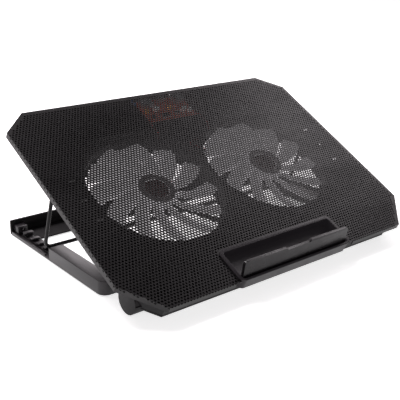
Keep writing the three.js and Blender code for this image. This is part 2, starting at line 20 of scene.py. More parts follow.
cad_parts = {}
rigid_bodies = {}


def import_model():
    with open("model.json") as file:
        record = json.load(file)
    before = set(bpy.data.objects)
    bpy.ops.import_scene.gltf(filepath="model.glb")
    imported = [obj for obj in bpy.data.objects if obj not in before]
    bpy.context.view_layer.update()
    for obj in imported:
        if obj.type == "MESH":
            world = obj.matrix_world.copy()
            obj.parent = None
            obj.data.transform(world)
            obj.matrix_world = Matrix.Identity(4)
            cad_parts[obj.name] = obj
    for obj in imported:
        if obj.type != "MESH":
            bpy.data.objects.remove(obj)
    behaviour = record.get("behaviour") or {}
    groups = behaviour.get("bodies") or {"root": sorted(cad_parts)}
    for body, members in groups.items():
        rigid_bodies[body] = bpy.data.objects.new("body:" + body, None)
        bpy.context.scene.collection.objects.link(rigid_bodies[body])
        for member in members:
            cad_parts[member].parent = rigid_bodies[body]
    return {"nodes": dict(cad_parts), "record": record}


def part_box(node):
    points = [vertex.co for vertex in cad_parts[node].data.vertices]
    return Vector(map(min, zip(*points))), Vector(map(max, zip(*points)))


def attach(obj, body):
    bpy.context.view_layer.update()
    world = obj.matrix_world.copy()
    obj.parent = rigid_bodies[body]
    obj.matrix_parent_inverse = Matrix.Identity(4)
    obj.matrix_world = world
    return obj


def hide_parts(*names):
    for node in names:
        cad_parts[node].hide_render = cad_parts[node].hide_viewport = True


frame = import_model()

LOG = logging.getLogger("cooling_pad")

Color = tuple[float, float, float]
Test = Callable[[Vector], bool]
X_AXIS, Y_AXIS = (1, 0, 0), (0, 1, 0)
TOUCH = 1e-6  # two places closer than this are the same


class Side(Enum):
    """The two sides that fans, rails and sockets come in."""

    LEFT = "left"
    RIGHT = "right"


# ---- the deck's frame ---------------------------------------------------------------------------


class DeckFrame:
    """The tilted frame of the deck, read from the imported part."""

    def __init__(self) -> None:
        """Finds the sheet's plane from the deck_top mount and its front edge from the sheet's box."""
        mount = next(m for m in frame["record"]["mounts"] if m["name"] == "deck_top")
        normal = Vector(mount["axis"]).normalized()
        tilt = math.atan2(-normal.y, normal.z)
        self.turn = Matrix.Rotation(tilt, 4, "X")
        front = self._front_edge(normal, Vector(mount["pos_m"]))
        self.to_row = Matrix.Translation(front) @ self.turn
        self.from_row = self.to_row.inverted()

    @staticmethod
    def _front_edge(normal: Vector, on_plane: Vector) -> Vector:
        """The middle of the sheet's front edge.

        Args:
            normal: Unit normal of the sheet.
            on_plane: Any point of the sheet's top plane.

        Returns:
            The point, in the row frame.
        """
        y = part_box("mesh_panel")[0].y
        z = on_plane.z - normal.y * (y - on_plane.y) / normal.z
        return Vector((0.0, y, z))

    def points(self, node: str) -> list[Vector]:
        """A CAD node's vertices in the deck's frame."""
        return [self.from_row @ v.co for v in frame["nodes"][node].data.vertices]

    def box(self, node: str) -> tuple[Vector, Vector]:
        """A CAD node's lowest and highest corner in the deck's frame.

        Args:
            node: The node's name.

        Returns:
            Both corners.
        """
        found = self.points(node)
        low = Vector(min(p[i] for p in found) for i in range(3))
        high = Vector(max(p[i] for p in found) for i in range(3))
        return low, high


DECK = DeckFrame()


# ---- modelling bench ----------------------------------------------------------------------------


SMOOTH_ANGLE = math.radians(35.0)  # flatter edges are shaded smoothly
SHARP_ANGLE = math.radians(40.0)  # sharper edges are rounded
FLAT_ANGLE = math.radians(0.4)  # triangles flatter than this are one face
WELD = 2e-6  # loose triangles' corners closer than this are joined


class Bench:
    """Object and edit-mode steps that every sub-assembly shares."""

    @staticmethod
    def deselect() -> None:
        """Leaves no object selected or active."""
        for other in bpy.context.view_layer.objects:
            other.select_set(False)
        bpy.context.view_layer.objects.active = None

    @staticmethod
    def take(obj: bpy.types.Object) -> None:
        """Makes one object the only selected and active one.

        Args:
            obj: The object.
        """
        Bench.deselect()
        obj.select_set(True)
        bpy.context.view_layer.objects.active = obj

    @staticmethod
    @contextmanager
    def editing(obj: bpy.types.Object) -> Iterator[bpy.types.Object]:
        """Edit mode on one object, with everything selected at the start.

        Args:
            obj: The object to edit.

        Yields:
            The object, until the block ends.
        """
        Bench.take(obj)
        bpy.ops.object.mode_set(mode="EDIT")
        bpy.ops.mesh.select_mode(type="FACE")
        bpy.ops.mesh.select_all(action="SELECT")
        try:
            yield obj
        finally:
            bpy.ops.object.mode_set(mode="OBJECT")

    @staticmethod
    def pick(obj: bpy.types.Object, test: Test) -> None:
        """Selects the faces whose middle passes a test.

        Args:
            obj: The object in edit mode.
            test: Says whether a point is wanted.
        """
        bpy.ops.mesh.select_mode(type="FACE")
        bpy.ops.mesh.select_all(action="DESELECT")
        bm = bmesh.from_edit_mesh(obj.data)
        for face in [f for f in bm.faces if test(f.calc_center_median())]:
            face.select_set(True)
        bm.select_flush_mode()
        bmesh.update_edit_mesh(obj.data)

    @staticmethod
    def bisect(point: Sequence[float], normal: Sequence[float], clear_outer: bool = False) -> None:
        """Cuts what is selected by a plane.

        Args:
            point: A point of the plane.
            normal: Its normal.
            clear_outer: True to clear the side that the normal points to.
        """
        bpy.ops.mesh.bisect(
            plane_co=point, plane_no=normal, use_fill=False,
            clear_inner=False, clear_outer=clear_outer, threshold=1e-7,
        )

    @staticmethod
    def apply(obj: bpy.types.Object, kind: str, **settings: object) -> None:
        """Adds a modifier, sets it and applies it.

        Args:
            obj: The object.
            kind: The modifier's type.
            settings: Its settings by name.
        """
        Bench.take(obj)
        modifier = obj.modifiers.new(kind.lower(), kind)
        for key, value in settings.items():
            setattr(modifier, key, value)
        bpy.ops.object.modifier_apply(modifier=modifier.name)

    @staticmethod
    def bake_place(obj: bpy.types.Object) -> None:
        """Moves an object's own place into its mesh."""
        Bench.take(obj)
        bpy.ops.object.transform_apply(location=True, rotation=True, scale=True)

    @staticmethod
    def outward(obj: bpy.types.Object) -> None:
        """Merges doubles and points every face outwards.

        Args:
            obj: The object, with a closed surface.
        """
        with Bench.editing(obj):
            bpy.ops.mesh.remove_doubles(threshold=TOUCH)
            bpy.ops.mesh.select_all(action="SELECT")
            bpy.ops.mesh.normals_make_consistent(inside=False)

    @staticmethod
    def smooth(obj: bpy.types.Object) -> None:
        """Shades smoothly across edges flatter than SMOOTH_ANGLE."""
        Bench.take(obj)
        bpy.ops.object.shade_smooth_by_angle(angle=SMOOTH_ANGLE)

    @staticmethod
    def join(objects: Sequence[bpy.types.Object], name: str) -> bpy.types.Object:
        """Joins objects into the first one and names it.

        Args:
            objects: What to join.
            name: The joined object's name.

        Returns:
            The joined object.
        """
        Bench.take(objects[0])
        for obj in objects:
            obj.select_set(True)
        bpy.ops.object.join()
        joined = bpy.context.view_layer.objects.active
        joined.name = name
        return joined

    @staticmethod
    def box(
        low: Sequence[float], high: Sequence[float], bevel: float, segments: int = 2,
    ) -> bpy.types.Object:
        """A block between two corners with rounded edges.

        Args:
            low: Lowest corner.
            high: Highest corner.
            bevel: Width of the rounding.
            segments: Faces across the rounding.

        Returns:
            The object, at the origin.
        """
        low, high = Vector(low), Vector(high)
        Bench.deselect()
        bpy.ops.mesh.primitive_cube_add(size=1.0, location=(low + high) / 2)
        obj = bpy.context.active_object
        obj.scale = high - low
        Bench.bake_place(obj)
        with Bench.editing(obj):
            bpy.ops.mesh.bevel(offset=bevel, segments=segments, affect="EDGES")
        return obj

    @staticmethod
    def turned(
        profile: Sequence[tuple[float, float]], centre: Sequence[float], steps: int,
    ) -> bpy.types.Object:
        """A closed body spun round the Z axis through a centre.

        Args:
            profile: Radius and height of each corner, from the bottom round the outside to the
                top, or right round where the body is a ring.
            centre: The point on the axis that heights are counted from.
            steps: Faces round the body.

        Returns:
            The object, at the origin.
        """
        x, y, z = centre
        mesh = bpy.data.meshes.new("turned")
        rim = [(x + r, y, z + h) for r, h in profile]
        mesh.from_pydata(rim, [(i, i + 1) for i in range(len(rim) - 1)], [])
        obj = bpy.data.objects.new("turned", mesh)
        bpy.context.scene.collection.objects.link(obj)
        with Bench.editing(obj):
            bpy.ops.mesh.select_mode(type="VERT")
            bpy.ops.mesh.select_all(action="SELECT")
            bpy.ops.mesh.spin(
                steps=steps, angle=math.tau, center=(x, y, z), axis=(0, 0, 1), use_auto_merge=True,
            )
        Bench.outward(obj)
        return obj


class Piece:
    """Finishing steps that turn a modelled object into a piece of the part."""

    @staticmethod
    def place(
        obj: bpy.types.Object, name: str, body: str, finish: "Finish",
        replaces: Sequence[str] = (), on_deck: bool = False,
    ) -> None:
        """Names a piece, dresses it, and lets it ride on its body.

        Args:
            obj: The modelled object.
            name: The piece's name.
            body: The CAD body that it rides on.
            finish: Its finish.
            replaces: The CAD nodes that it stands for.
            on_deck: True where it was modelled in the deck's frame.
        """
        obj.name = name
        obj.data.name = name
        if on_deck:
            obj.data.transform(DECK.to_row)
        obj.data.materials.clear()
        obj.data.materials.append(finish.material())
        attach(obj, body)
        if replaces:
            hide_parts(*replaces)
        LOG.info("%s: %d faces on %s", name, len(obj.data.polygons), body)

    @staticmethod
    def from_node(node: str, bevel: float, segments: int) -> bpy.types.Object:
        """A merged copy of a CAD node with its sharp edges rounded.

        Args:
            node: The CAD node's name.
            bevel: Width of the rounding, or 0 for none.
            segments: Faces across the rounding.

        Returns:
            The new object, in the row frame.
        """
        obj = bpy.data.objects.new(node + "_finished", frame["nodes"][node].data.copy())
        bpy.context.scene.collection.objects.link(obj)
        with Bench.editing(obj):
            bpy.ops.mesh.remove_doubles(threshold=WELD)
            bpy.ops.mesh.select_all(action="SELECT")
            bpy.ops.mesh.dissolve_limited(angle_limit=FLAT_ANGLE)
        if bevel:
            Bench.apply(
                obj, "BEVEL", width=bevel, segments=segments, limit_method="ANGLE",
                angle_limit=SHARP_ANGLE, use_clamp_overlap=True, miter_outer="MITER_SHARP",
            )
        Bench.smooth(obj)
        return obj


# ---- shader expressions -------------------------------------------------------------------------

Value = Union["Term", float, Sequence[float]]


class Term:
    """A socket in a shader expression."""

    def __init__(self, graph: "Graph", socket: bpy.types.NodeSocket) -> None:
        """Wraps a socket of a graph."""
        self.graph = graph
        self.socket = socket

    def _math(self, operation: str, a: Value, b: Value = 0.0) -> "Term":
        """One Math node."""
        return self.graph.node("ShaderNodeMath", {"operation": operation}, {0: a, 1: b})

    def __add__(self, other: Value) -> "Term":
        """self + other."""
        return self._math("ADD", self, other)

    __radd__ = __add__

    def __mul__(self, other: Value) -> "Term":
        """self * other."""
        return self._math("MULTIPLY", self, other)

    __rmul__ = __mul__

    def clamped(self) -> "Term":
        """The value held between 0 and 1."""
        return self.graph.node("ShaderNodeClamp", {}, {"Value": self})


class Graph:
    """A material's nodes, added as expressions need them."""

    def __init__(self, name: str) -> None:
        """Starts a material with only an output and a Principled shader.

        Args:
            name: The material's name.
        """
        self.material = bpy.data.materials.new(name)
        self.material.use_nodes = True
        self.tree = self.material.node_tree
        self.tree.nodes.clear()
        output = self.tree.nodes.new("ShaderNodeOutputMaterial")
        self.shader = self.tree.nodes.new("ShaderNodeBsdfPrincipled")
        self.tree.links.new(self.shader.outputs["BSDF"], output.inputs["Surface"])
        self.place = self.node("ShaderNodeTexCoord", {}, {}, "Object")

    def node(
        self, kind: str, settings: dict[str, object], inputs: dict[object, Value], output: object = 0,
    ) -> Term:
        """Adds any node.

        Args:
            kind: The node's type.
            settings: Its own settings, set first.
            inputs: Values or terms for its sockets, by name or number.
            output: Which output the result is.

        Returns:
            The chosen output.
        """
        made = self.tree.nodes.new(kind)
        for key, value in settings.items():
            setattr(made, key, value)
        for key, value in inputs.items():
            if isinstance(value, Term):
                self.tree.links.new(value.socket, made.inputs[key])
            else:
                made.inputs[key].default_value = value
        return Term(self, made.outputs[output])

    def noise(self, scale: float, detail: float = 2.0, stretch: Sequence[float] = (1, 1, 1)) -> Term:
        """Fractal noise on Object coordinates, as a value of about 0.5."""
        where = self.node("ShaderNodeMapping", {}, {"Vector": self.place, "Scale": stretch})
        return self.node("ShaderNodeTexNoise", {}, {"Vector": where, "Scale": scale, "Detail": detail})

    def blend(self, factor: Value, low: Color, high: Color) -> Term:
        """A colour between two, by a factor."""
        inputs = {0: factor, 6: (*low, 1.0), 7: (*high, 1.0)}
        return self.node("ShaderNodeMix", {"data_type": "RGBA"}, inputs, 2)

    def bump(self, height: Term, depth: float) -> Term:
        """A surface normal from a height of 0 to 1 over a depth in metres."""
        inputs = {"Height": height, "Distance": depth, "Strength": 1.0}
        return self.node("ShaderNodeBump", {}, inputs, "Normal")

    def finish(self, **sockets: Value) -> bpy.types.Material:
        """Sets or links the Principled shader's sockets.

        Args:
            sockets: Values by socket name, with an underscore for a space.

        Returns:
            The material.
        """
        for key, value in sockets.items():
            socket = self.shader.inputs[key.replace("_", " ")]
            if isinstance(value, Term):
                self.tree.links.new(value.socket, socket)
            else:
                socket.default_value = value
        return self.material


# ---- finishes -----------------------------------------------------------------------------------


@dataclass(frozen=True)
class Finish:
    """A named finish. material() makes its nodes once and then gives the same material.

    No finish has the name of a slot, because the frame brings materials with the slots' names.
    """

    name: str
    slot: str
    color: Color
    roughness: float

    def material(self) -> bpy.types.Material:
        """The finish's material, made on first use."""
        return bpy.data.materials.get(self.name) or self.build(Graph(self.name))

    def build(self, graph: Graph) -> bpy.types.Material:
        """Makes the nodes.

        Args:
            graph: The new material's graph.

        Returns:
            The material.
        """
        raise NotImplementedError

    def shade(self, share: float) -> Color:
        """The finish's colour made darker or lighter by a factor."""
        return tuple(min(1.0, c * share) for c in self.color)

    def rough(self, *layers: tuple[Term, float]) -> Term:
        """The finish's roughness, moved up and down by noises that average a half.

        Args:
            layers: Each noise with the range of roughness that it moves.

        Returns:
            The roughness, held between 0 and 1.
        """
        first, *others = [noise * width for noise, width in layers]
        middle = sum(width for _, width in layers) / 2
        return (sum(others, first) + (self.roughness - middle)).clamped()


@dataclass(frozen=True)
class MouldedPlastic(Finish):
    """Injection-moulded plastic with a fine spark-eroded grain and slightly polished patches."""

    grain: float = 0.00035
    depth: float = 0.00002
    spread: float = 0.35
    specular: float = 0.45
    # glow is painted light: an emission in the plastic's own colour that lifts a moulding lying in
    # shade, though no moulding is a lamp
    glow: float = 0.0
    patch_scale: float = 22.0
    wipe_scale: float = 60.0
    patch_share: float = 0.7

    def build(self, graph: Graph) -> bpy.types.Material:
        """Grain from fine noise, patches from broad noise.

        Args:
            graph: The new material's graph.

        Returns:
            The material.
        """
        grain = graph.noise(1.0 / self.grain, 3.0)
        patches = graph.noise(self.patch_scale, 4.0)
        wipes = graph.noise(self.wipe_scale, 2.0, (1.0, 0.25, 1.0))
        mixed = (patches * self.patch_share + grain * (1.0 - self.patch_share)).clamped()
        tint = graph.blend(mixed, self.shade(1.0 - self.spread), self.shade(1.0 + self.spread))
        # where glow is set, Emission_Strength paints light into the plastic's colour
        return graph.finish(
            Base_Color=tint, Emission_Color=tint, Emission_Strength=self.glow,
            Roughness=self.rough((wipes, 0.22), (grain, 0.1)),
            Normal=graph.bump(grain, self.depth),
            Specular_IOR_Level=self.specular,
        )


@dataclass(frozen=True)
class PowderCoat(Finish):
    """Powder-coated sheet steel: faint orange peel, a little dust and polish from use."""

    peel: float = 0.0012
    depth: float = 0.00003
    specular: float = 0.33
    dust_scale: float = 9.0
    rub_scale: float = 35.0

    def build(self, graph: Graph) -> bpy.types.Material:
        """Peel bump with dust laid over it in broad, soft patches.

        Args:
            graph: The new material's graph.

        Returns:
            The material.
        """
        peel = graph.noise(1.0 / self.peel, 2.0)
        dust = graph.noise(self.dust_scale, 6.0)
        rubbed = graph.noise(self.rub_scale, 3.0, (0.3, 1.0, 1.0))
        return graph.finish(
            Base_Color=graph.blend(dust, self.shade(0.75), self.shade(1.5)),
            Roughness=self.rough((dust, 0.18), (rubbed, 0.16)),
            Normal=graph.bump(peel, self.depth),
            Specular_IOR_Level=self.specular,
        )


@dataclass(frozen=True)
class Enamel(Finish):
    """Thick enamel on bent wire."""

    depth: float = 0.00005
    specular: float = 0.12
    coat: float = 0.05
    coat_roughness: float = 0.12
    wave_scale: float = 160.0
    scuff_scale: float = 900.0

    def build(self, graph: Graph) -> bpy.types.Material:
        """Slow waves in the enamel and small scuffs in its gloss.

        Args:
            graph: The new material's graph.

        Returns:
            The material.
        """
        waves = graph.noise(self.wave_scale, 1.0)
        scuffs = graph.noise(self.scuff_scale, 4.0, (1.0, 1.0, 0.2))
        return graph.finish(
            Base_Color=graph.blend(waves, self.shade(0.8), self.shade(1.5)),
            Roughness=self.rough((scuffs, 0.25)),
            Normal=graph.bump(waves, self.depth),
            Specular_IOR_Level=self.specular,
            Coat_Weight=self.coat,
            Coat_Roughness=self.coat_roughness,
        )


@dataclass(frozen=True)
class BrightMetal(Finish):
    """Plated or bare metal with drawn lines and slight tarnish."""

    line: float = 0.0003
    # glow is painted light: an emission in the metal's own colour that lifts small metal parts lying in
    # shade, though none is a lamp
    glow: float = 0.0
    depth: float = 0.00001
    tarnish_scale: float = 120.0

    def build(self, graph: Graph) -> bpy.types.Material:
        """Drawn lines as stretched noise, tarnish as broad noise.

        Args:
            graph: The new material's graph.

        Returns:
            The material.
        """
        lines = graph.noise(1.0 / self.line, 2.0, (0.08, 1.0, 1.0))
        tarnish = graph.noise(self.tarnish_scale, 4.0)
        tint = graph.blend(tarnish, self.shade(0.78), self.shade(1.1))
        # where glow is set, Emission_Strength paints light into the metal's colour
        return graph.finish(
            Base_Color=tint, Emission_Color=tint, Emission_Strength=self.glow,
            Metallic=1.0,
            Roughness=self.rough((lines, 0.2), (tarnish, 0.14)),
            Normal=graph.bump(lines, self.depth),
        )


@dataclass(frozen=True)
class Rubber(Finish):
    """Matt rubber with a dusty, pitted skin."""

    depth: float = 0.00005
    specular: float = 0.3
    pit_scale: float = 1800.0
    dust_scale: float = 70.0

    def build(self, graph: Graph) -> bpy.types.Material:
        """Pits as cell noise, dust as broad noise.

        Args:
            graph: The new material's graph.

        Returns:
            The material.
        """
        cells = {"Vector": graph.place, "Scale": self.pit_scale}
        pits = graph.node("ShaderNodeTexVoronoi", {}, cells, "Distance")
        dust = graph.noise(self.dust_scale, 5.0)
        return graph.finish(
            Base_Color=graph.blend(dust, self.shade(0.7), self.shade(1.8)),
            Roughness=self.rough((dust, 0.12)),
            Normal=graph.bump(pits, self.depth),
            Specular_IOR_Level=self.specular,
        )


@dataclass(frozen=True)
class Laminate(Finish):
    """Circuit board laminate: solder mask over fine copper tracks."""

    track: float = 0.0011
    # glow is painted light: an emission in the laminate's own colour that lifts a board lying in shade
    glow: float = 0.0
    depth: float = 0.00004
    weave_scale: float = 1500.0

    def build(self, graph: Graph) -> bpy.types.Material:
        """Tracks as a brick pattern that shows through the mask.

        Args:
            graph: The new material's graph.

        Returns:
            The material.
        """
        bricks = {
            "Vector": graph.place, "Scale": 1.0 / self.track, "Mortar Size": 0.16,
            "Brick Width": 3.1, "Row Height": 0.9, "Color1": (0, 0, 0, 1),
            "Color2": (0.1, 0.1, 0.1, 1), "Mortar": (1, 1, 1, 1),
        }
        tracks = graph.node("ShaderNodeTexBrick", {"offset": 0.37, "squash": 1.0}, bricks, "Fac")
        weave = graph.noise(self.weave_scale, 2.0)
        tint = graph.blend(tracks, self.shade(0.8), self.shade(1.9))
        # where glow is set, Emission_Strength paints light into the board's colour
        return graph.finish(
            Base_Color=tint, Emission_Color=tint, Emission_Strength=self.glow,
            Roughness=self.rough((weave, 0.15)),
            Normal=graph.bump(tracks, self.depth),
        )


@dataclass(frozen=True)
class Lens(Finish):
    """Tinted moulded lens that glows a little."""

    glow: float = 0.1
    cloud_scale: float = 400.0

    def build(self, graph: Graph) -> bpy.types.Material:
        """Cloudy tint that glows in its own colour.

        Args:
            graph: The new material's graph.

        Returns:
            The material.
        """
        cloud = graph.noise(self.cloud_scale, 2.0)
        tint = graph.blend(cloud, self.shade(0.7), self.shade(1.3))
        return graph.finish(
            Base_Color=tint, Emission_Color=tint, Emission_Strength=self.glow,
            Roughness=self.rough((cloud, 0.1)),
        )


SHEET_COAT = PowderCoat("sheet_powder_coat", "mesh_steel", (0.0042, 0.0035, 0.0040), 0.42)
HOUSING_PLASTIC = MouldedPlastic(
    "housing_plastic", "black_plastic", (0.008, 0.0072, 0.008), 0.55, specular=0.25,
)
BASE_PLASTIC = MouldedPlastic(
    "base_plastic", "black_plastic", (0.0135, 0.0115, 0.0135), 0.36, specular=0.4,
)
# The back panel's colour is painted shade: a darker copy of the base plastic, so that the panel looks
# as if it lay in shadow.
PANEL_PLASTIC = MouldedPlastic(
    "panel_plastic_painted_shade", "black_plastic", (0.005, 0.0045, 0.005), 0.6, specular=0.12,
)
TRIM_PLASTIC = MouldedPlastic(
    "trim_satin", "trim_plastic", (0.008, 0.007, 0.008), 0.3,
    grain=0.0005, depth=0.00001, specular=0.25,
)
# The tray's glow is painted light: it lifts the shade that fills the tray's recess.
TRAY_PLASTIC = MouldedPlastic(
    "tray_satin_painted_glow", "trim_plastic", (0.012, 0.0105, 0.012), 0.38,
    grain=0.0005, depth=0.00001, specular=0.2, glow=0.55,
)
# The blades' glow is painted light: it brightens blades that sit in the shade under the guard and
# sheet.
FAN_PLASTIC = MouldedPlastic(
    "fan_smoke_painted_glow", "fan_plastic", (0.66, 0.64, 0.66), 0.3,
    grain=0.0006, depth=0.000006, spread=0.3, specular=0.5, glow=0.52,
)
# The hub's glow is painted light on the rotor's hub.
HUB_SATIN = MouldedPlastic(
    "hub_satin_painted_glow", "fan_plastic", (0.30, 0.27, 0.28), 0.32,
    grain=0.0006, depth=0.000006, spread=0.3, specular=0.5, glow=0.12,
)
LEAD_RED = MouldedPlastic(
    "lead_red", "lead_insulation", (0.72, 0.05, 0.04), 0.35, grain=0.0008, depth=0.00001,
)
LABEL_PRINT = MouldedPlastic(
    "label_print", "soft_rubber", (0.16, 0.055, 0.055), 0.5, grain=0.0009, depth=0.00001,
)
CHIP_EPOXY = MouldedPlastic("chip_epoxy", "board_laminate", (0.015, 0.015, 0.016), 0.55)
WIRE_ENAMEL = Enamel("wire_enamel", "black_wire", (0.004, 0.004, 0.0045), 0.325)
# The nickel's glow is painted light on the sockets, the switch body and the fan shafts.
NICKEL = BrightMetal("nickel_plate_painted_glow", "bright_steel", (0.62, 0.63, 0.65), 0.3, glow=0.08)
SCREW_STEEL = BrightMetal("screw_steel", "bright_steel", (0.30, 0.30, 0.31), 0.38)
COPPER = BrightMetal("winding_copper", "coil_copper", (0.55, 0.27, 0.12), 0.36, line=0.0006)
# The glows on solder, capacitor cans and coil windings are painted light that brightens the board's
# parts where shade falls on them.
SOLDER = BrightMetal(
    "solder_tin_painted_glow", "bright_steel", (0.55, 0.55, 0.56), 0.36, line=0.0004, glow=0.3,
)
CAN_METAL = BrightMetal(
    "can_aluminium_painted_glow", "bright_steel", (0.78, 0.79, 0.80), 0.3, line=0.0004, glow=0.35,
)
WINDING = BrightMetal(
    "coil_winding_painted_glow", "coil_copper", (0.75, 0.38, 0.14), 0.34, line=0.0004, glow=0.3,
)
GOLD = BrightMetal("contact_gold", "coil_copper", (0.80, 0.58, 0.22), 0.28, line=0.0004)
PAD_RUBBER = Rubber("pad_rubber", "soft_rubber", (0.018, 0.018, 0.019), 0.85)
# The board's glow is painted light that brightens the board in its shade.
BOARD = Laminate("board_mask_painted_glow", "board_laminate", (0.34, 0.085, 0.06), 0.405, glow=0.3)
LAMP_LENS = Lens("lamp_lens", "led_lens", (0.10, 0.22, 0.5), 0.25)


# ---- perforated deck sheet ----------------------------------------------------------------------


@dataclass
class PerforatedSheet:
    """The deck's folded sheet with its staggered holes.

    The sheet is made flat, with its lips lying beyond the edges they are folded at.
    """

    pitch: float = 0.00345
    web: float = 0.00125
    thickness: float = 0.0009
    plain_margin: float = 0.0042
    plain_tray_share: float = 0.6  # of a pitch, left plain round the tray
    lip_hole_share: float = 0.45  # of a pitch, how far past a fold a hole may be centred
    tray_wall: float = 0.0018
    tray_room: float = 0.0043
    port_room: float = 0.001
    tray_reach: float = 0.01
    slanted: float = 0.6  # an edge's normal has at least this share on the axis it faces
    square: float = 0.9  # the same for an edge square to the axis
    strips: int = 3

    def __post_init__(self) -> None:
        """Reads the outline, the lips and the tray from the CAD nodes."""
        self.corners = self.outline()
        self.edges = list(zip(self.corners, self.corners[1:] + self.corners[:1]))
        self.along = [(b - a).normalized() for a, b in self.edges]
        self.out = [Vector((d.y, -d.x, 0.0)) for d in self.along]
        self.lip = -DECK.box("mesh_panel")[0].z
        self.tray_low, self.tray_high = DECK.box("front_tray")
        self.tray_half = self.tray_high.x - self.tray_wall
        self.tray_back = self.tray_high.y - self.tray_wall

    def outline(self) -> list[Vector]:
        """The sheet's corners in the deck's frame, counter-clockwise.

        Returns:
            One point for each real bend of the outline.
        """
        top = [p for p in DECK.points("mesh_panel") if abs(p.z) < 1e-5]
        flat = sorted({(round(p.x, 6), round(p.y, 6)) for p in top})
        ring = [Vector(flat[i]) for i in convex_hull_2d([Vector(p) for p in flat])]
        shortest, straight = 1e-4, 0.05
        corners = []
        for i, p in enumerate(ring):
            before, after = p - ring[i - 1], ring[(i + 1) % len(ring)] - p
            bend = abs(before.normalized().cross(after.normalized()))
            if before.length > shortest and bend > straight:
                corners.append(p.to_3d())
        return corners

    def beyond(self, i: int, p: Vector) -> float:
        """How far a point is outside one edge."""
        return (p - self.edges[i][0]).dot(self.out[i])

    def outside(self, p: Vector) -> bool:
        """True past any edge."""
        return any(self.beyond(i, p) > TOUCH for i in range(len(self.edges)))

    def lip_edge(self, p: Vector) -> int | None:
        """The edge whose lip a point lies in, or None on the flat and in the corners.

        Args:
            p: A point of the flat sheet.

        Returns:
            The edge's number, or None.
        """
        for i, (a, b) in enumerate(self.edges):
            run = (p - a).dot(self.along[i])
            if self.beyond(i, p) > TOUCH and -TOUCH < run < (b - a).length + TOUCH:
                return i
        return None

    def in_lip(self, p: Vector, facing: float) -> bool:
        """True in the front lip (facing -1) or the back lip (facing 1)."""
        edge = self.lip_edge(p)
        return edge is not None and self.out[edge].y * facing > self.square

    def near_tray(self, p: Vector, margin: float = 0.0) -> bool:
        """True over the tray, or within a margin of it."""
        return abs(p.x) < self.tray_half + margin and p.y < self.tray_back + margin

    def plain(self, p: Vector) -> bool:
        """True on the lips, on the margins at the right and back edges and round the tray.

        Args:
            p: A point of the flat sheet.

        Returns:
            Whether a hole there stays closed.
        """
        sides = range(len(self.edges))
        near_edge = any(
            -self.plain_margin < self.beyond(i, p) < self.pitch
            and (self.out[i].x > self.slanted or self.out[i].y > self.slanted)
            for i in sides
        )
        on_lip = any(self.beyond(i, p) > self.pitch * self.lip_hole_share for i in sides)
        return near_edge or on_lip or self.near_tray(p, self.pitch * self.plain_tray_share)

    def extent(self) -> tuple[Vector, Vector]:
        """The lowest and highest corner of the flat sheet with its lips.

        Returns:
            Both corners.
        """
        reach = Vector((self.lip, self.lip, 0.0))
        low = Vector((min(c.x for c in self.corners), min(c.y for c in self.corners), 0.0))
        high = Vector((max(c.x for c in self.corners), max(c.y for c in self.corners), 0.0))
        return low - reach, high + reach

    def tiles(self, low: Vector, high: Vector) -> bpy.types.Object:
        """A flat field of hexagonal tiles, each with its hole still filled.

        Args:
            low: Lowest corner to cover.
            high: Highest corner to cover.

        Returns:
            The field, one face per hole and six round it.
        """
        row = self.pitch * math.sqrt(3) / 2
        pair = []
        for shift in (Vector((0, 0, 0)), Vector((self.pitch / 2, row, 0))):
            Bench.deselect()
            bpy.ops.mesh.primitive_circle_add(
                vertices=6, radius=self.pitch / math.sqrt(3), fill_type="NGON",
                location=low.to_2d().to_3d() + shift,
            )
            tile = bpy.context.active_object
            Bench.bake_place(tile)
            with Bench.editing(tile):
                bpy.ops.mesh.inset(thickness=self.web / 2, depth=0.0)
            pair.append(tile)
        field = Bench.join(pair, "sheet")
        size = high - low
        for axis, step, extent in ((0, self.pitch, size.x), (1, 2 * row, size.y)):
            offset = [0.0, 0.0, 0.0]
            offset[axis] = step
            Bench.apply(
                field, "ARRAY", use_relative_offset=False, use_constant_offset=True,
                constant_offset_displace=offset, count=math.ceil(extent / step) + 1,
            )
        with Bench.editing(field):
            bpy.ops.mesh.remove_doubles(threshold=TOUCH)
        return field

    def punch(self, sheet: bpy.types.Object) -> None:
        """Opens every hole outside the plain areas.

        Args:
            sheet: The flat sheet, in edit mode.
        """
        side = self.pitch - self.web
        largest = side * side * math.sqrt(3) / 2 * 1.2
        bpy.ops.mesh.select_all(action="DESELECT")
        bm = bmesh.from_edit_mesh(sheet.data)
        for face in bm.faces:
            is_hole = len(face.verts) == 6 and face.calc_area() < largest
            face.select_set(is_hole and not self.plain(face.calc_center_median()))
        bmesh.update_edit_mesh(sheet.data)
        bpy.ops.mesh.delete(type="FACE")

    def trim(self, sheet: bpy.types.Object) -> None:
        """Marks the folds, trims the lips to their width and mitres their ends.

        Args:
            sheet: The flat sheet, in edit mode.
        """
        for (start, _), out in zip(self.edges, self.out):
            bpy.ops.mesh.select_all(action="SELECT")
            Bench.bisect(start, out)
            bpy.ops.mesh.select_all(action="SELECT")
            Bench.bisect(start + out * self.lip, out, clear_outer=True)
        for ends, direction in zip(self.edges, self.along):
            for corner in ends:
                Bench.pick(sheet, self.outside)
                Bench.bisect(corner, direction)
        Bench.pick(sheet, lambda p: self.outside(p) and self.lip_edge(p) is None)
        bpy.ops.mesh.delete(type="FACE")

